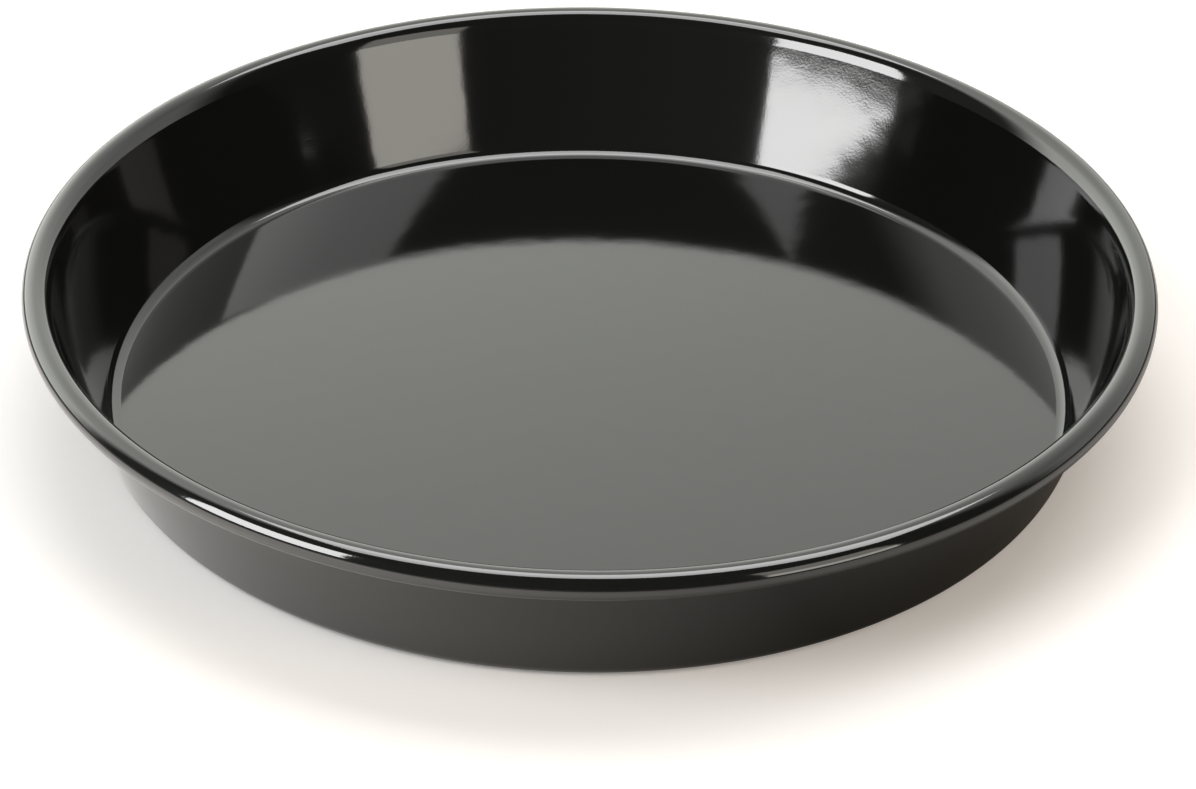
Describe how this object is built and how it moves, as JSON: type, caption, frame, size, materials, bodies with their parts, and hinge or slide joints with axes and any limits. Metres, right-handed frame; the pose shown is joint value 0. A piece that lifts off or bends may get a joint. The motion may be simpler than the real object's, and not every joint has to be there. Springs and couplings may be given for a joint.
{
  "type": "pizza pan",
  "caption": "Round deep pizza pan of drawn sheet steel with a leaning wall and a rolled rim, enamelled glossy black inside and out.",
  "frame": {"origin": "centre of the underside, on the table that the pan stands on", "axes": "+Z is the axis of the pan and points up out of its open side; the pan is round, and X runs to the right and -Y to the front of the picture"},
  "size_m": [0.3, 0.3, 0.042],
  "materials": {
    "sheet_steel": "bare low-carbon drawing steel, closed in by the enamel",
    "enamel_inside": "glossy black vitreous enamel with a fine ripple",
    "enamel_outside": "glossy black vitreous enamel with a fine ripple"
  },
  "bodies": {
    "root": {"steel_shell": "sheet_steel", "enamel_inside": "enamel_inside", "enamel_outside": "enamel_outside"}
  },
  "joints": []
}
